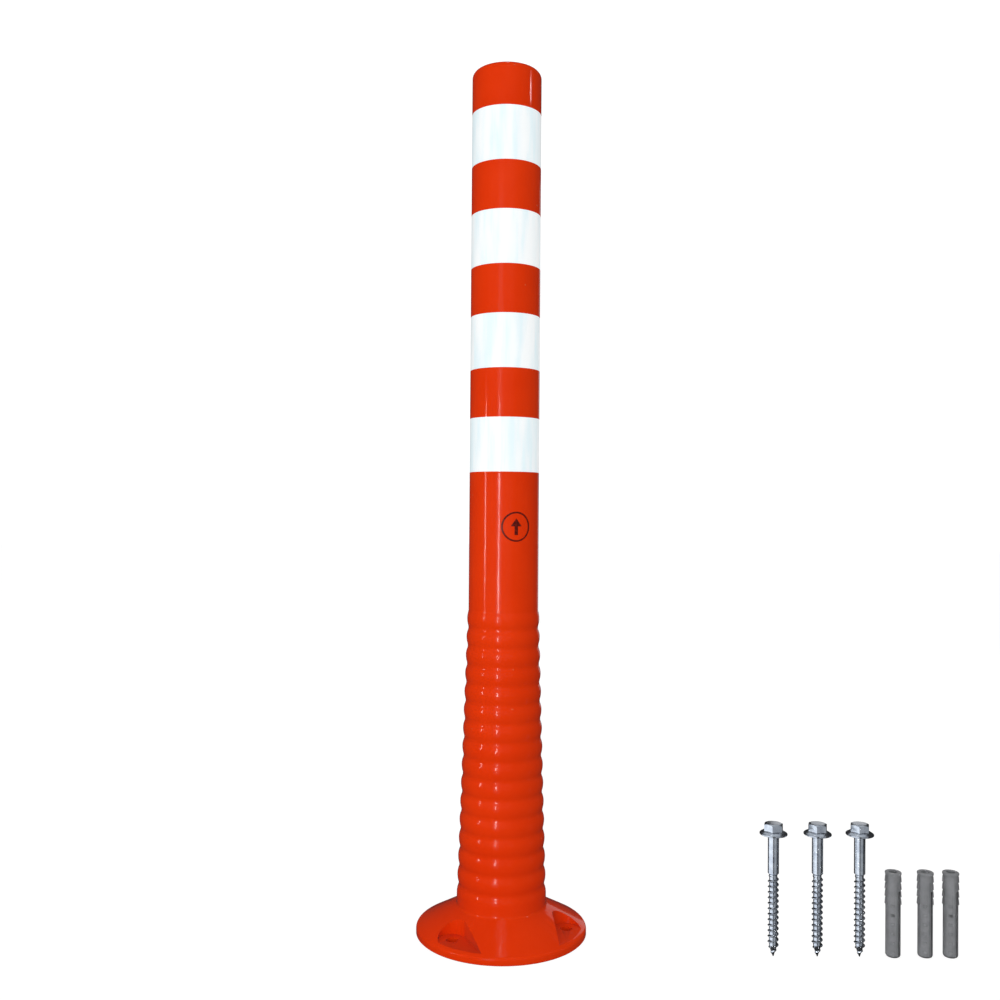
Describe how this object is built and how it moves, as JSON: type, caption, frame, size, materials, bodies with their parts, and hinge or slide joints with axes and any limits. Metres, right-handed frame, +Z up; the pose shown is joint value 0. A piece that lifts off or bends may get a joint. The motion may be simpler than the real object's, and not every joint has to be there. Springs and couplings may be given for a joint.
{
  "type": "delineator post",
  "caption": "Orange flexible delineator post with white reflective bands, a ringed bending stem and a round foot with screw pockets, shown with its loose screws and wall plugs.",
  "frame": {"origin": "middle of the foot's underside, on the axis of the post, at the centre of the three screw holes", "axes": "+Z up along the post; -Y is the front that faces the traffic; +X to the right, where the loose fixings stand"},
  "size_m": [0.6029, 0.197, 1],
  "materials": {
    "orange_polyurethane": "glossy moulded polyurethane",
    "white_reflective_sheeting": "microprismatic reflective sheeting under a clear film",
    "dark_ink": "pad-printed ink",
    "zinc_plated_steel": "bright zinc plating",
    "grey_nylon": "moulded nylon"
  },
  "bodies": {
    "foot": {"foot": "orange_polyurethane", "screw_1": "zinc_plated_steel", "screw_2": "zinc_plated_steel", "screw_3": "zinc_plated_steel", "wall_plug_1": "grey_nylon", "wall_plug_2": "grey_nylon", "wall_plug_3": "grey_nylon"},
    "fold_01": {"stem_fold_01": "orange_polyurethane"},
    "fold_02": {"stem_fold_02": "orange_polyurethane"},
    "fold_03": {"stem_fold_03": "orange_polyurethane"},
    "fold_04": {"stem_fold_04": "orange_polyurethane"},
    "fold_05": {"stem_fold_05": "orange_polyurethane"},
    "fold_06": {"stem_fold_06": "orange_polyurethane"},
    "fold_07": {"stem_fold_07": "orange_polyurethane"},
    "fold_08": {"stem_fold_08": "orange_polyurethane"},
    "fold_09": {"stem_fold_09": "orange_polyurethane"},
    "fold_10": {"stem_fold_10": "orange_polyurethane"},
    "fold_11": {"stem_fold_11": "orange_polyurethane"},
    "fold_12": {"stem_fold_12": "orange_polyurethane"},
    "fold_13": {"stem_fold_13": "orange_polyurethane"},
    "fold_14": {"stem_fold_14": "orange_polyurethane"},
    "post_top": {"stem_fold_15": "orange_polyurethane", "upper_tube": "orange_polyurethane", "reflective_band_1": "white_reflective_sheeting", "reflective_band_2": "white_reflective_sheeting", "reflective_band_3": "white_reflective_sheeting", "reflective_band_4": "white_reflective_sheeting", "printed_mark": "dark_ink"}
  },
  "joints": [
    {"name": "bend_01", "type": "hinge", "parent": "foot", "child": "fold_01", "pos_m": [0, 0, 0.05607], "axis": [0, 1, 0], "range_deg": [-9, 9], "stiffness_Nm_per_rad": 800, "deforming": ["stem_fold_01"]},
    {"name": "bend_02", "type": "hinge", "parent": "fold_01", "child": "fold_02", "pos_m": [0, 0, 0.07723], "axis": [1, 0, 0], "range_deg": [-9, 9], "stiffness_Nm_per_rad": 800, "deforming": ["stem_fold_02"]},
    {"name": "bend_03", "type": "hinge", "parent": "fold_02", "child": "fold_03", "pos_m": [0, 0, 0.09838], "axis": [0, 1, 0], "range_deg": [-9, 9], "stiffness_Nm_per_rad": 800, "deforming": ["stem_fold_03"]},
    {"name": "bend_04", "type": "hinge", "parent": "fold_03", "child": "fold_04", "pos_m": [0, 0, 0.11953], "axis": [1, 0, 0], "range_deg": [-9, 9], "stiffness_Nm_per_rad": 800, "deforming": ["stem_fold_04"]},
    {"name": "bend_05", "type": "hinge", "parent": "fold_04", "child": "fold_05", "pos_m": [0, 0, 0.14067], "axis": [0, 1, 0], "range_deg": [-9, 9], "stiffness_Nm_per_rad": 800, "deforming": ["stem_fold_05"]},
    {"name": "bend_06", "type": "hinge", "parent": "fold_05", "child": "fold_06", "pos_m": [0, 0, 0.16182], "axis": [1, 0, 0], "range_deg": [-9, 9], "stiffness_Nm_per_rad": 800, "deforming": ["stem_fold_06"]},
    {"name": "bend_07", "type": "hinge", "parent": "fold_06", "child": "fold_07", "pos_m": [0, 0, 0.18297], "axis": [0, 1, 0], "range_deg": [-9, 9], "stiffness_Nm_per_rad": 800, "deforming": ["stem_fold_07"]},
    {"name": "bend_08", "type": "hinge", "parent": "fold_07", "child": "fold_08", "pos_m": [0, 0, 0.20413], "axis": [1, 0, 0], "range_deg": [-9, 9], "stiffness_Nm_per_rad": 800, "deforming": ["stem_fold_08"]},
    {"name": "bend_09", "type": "hinge", "parent": "fold_08", "child": "fold_09", "pos_m": [0, 0, 0.22528], "axis": [0, 1, 0], "range_deg": [-9, 9], "stiffness_Nm_per_rad": 800, "deforming": ["stem_fold_09"]},
    {"name": "bend_10", "type": "hinge", "parent": "fold_09", "child": "fold_10", "pos_m": [0, 0, 0.24643], "axis": [1, 0, 0], "range_deg": [-9, 9], "stiffness_Nm_per_rad": 800, "deforming": ["stem_fold_10"]},
    {"name": "bend_11", "type": "hinge", "parent": "fold_10", "child": "fold_11", "pos_m": [0, 0, 0.26758], "axis": [0, 1, 0], "range_deg": [-9, 9], "stiffness_Nm_per_rad": 800, "deforming": ["stem_fold_11"]},
    {"name": "bend_12", "type": "hinge", "parent": "fold_11", "child": "fold_12", "pos_m": [0, 0, 0.28873], "axis": [1, 0, 0], "range_deg": [-9, 9], "stiffness_Nm_per_rad": 800, "deforming": ["stem_fold_12"]},
    {"name": "bend_13", "type": "hinge", "parent": "fold_12", "child": "fold_13", "pos_m": [0, 0, 0.30988], "axis": [0, 1, 0], "range_deg": [-9, 9], "stiffness_Nm_per_rad": 800, "deforming": ["stem_fold_13"]},
    {"name": "bend_14", "type": "hinge", "parent": "fold_13", "child": "fold_14", "pos_m": [0, 0, 0.33103], "axis": [1, 0, 0], "range_deg": [-9, 9], "stiffness_Nm_per_rad": 800, "deforming": ["stem_fold_14"]},
    {"name": "bend_15", "type": "hinge", "parent": "fold_14", "child": "post_top", "pos_m": [0, 0, 0.35218], "axis": [0, 1, 0], "range_deg": [-9, 9], "stiffness_Nm_per_rad": 800, "deforming": ["stem_fold_15"]}
  ],
  "couplings": [
    {"joint": "bend_03", "follows": "bend_01", "ratio": 1},
    {"joint": "bend_04", "follows": "bend_02", "ratio": 1},
    {"joint": "bend_05", "follows": "bend_01", "ratio": 1},
    {"joint": "bend_06", "follows": "bend_02", "ratio": 1},
    {"joint": "bend_07", "follows": "bend_01", "ratio": 1},
    {"joint": "bend_08", "follows": "bend_02", "ratio": 1},
    {"joint": "bend_09", "follows": "bend_01", "ratio": 1},
    {"joint": "bend_10", "follows": "bend_02", "ratio": 1},
    {"joint": "bend_11", "follows": "bend_01", "ratio": 1},
    {"joint": "bend_12", "follows": "bend_02", "ratio": 1},
    {"joint": "bend_13", "follows": "bend_01", "ratio": 1},
    {"joint": "bend_14", "follows": "bend_02", "ratio": 1},
    {"joint": "bend_15", "follows": "bend_01", "ratio": 1}
  ]
}
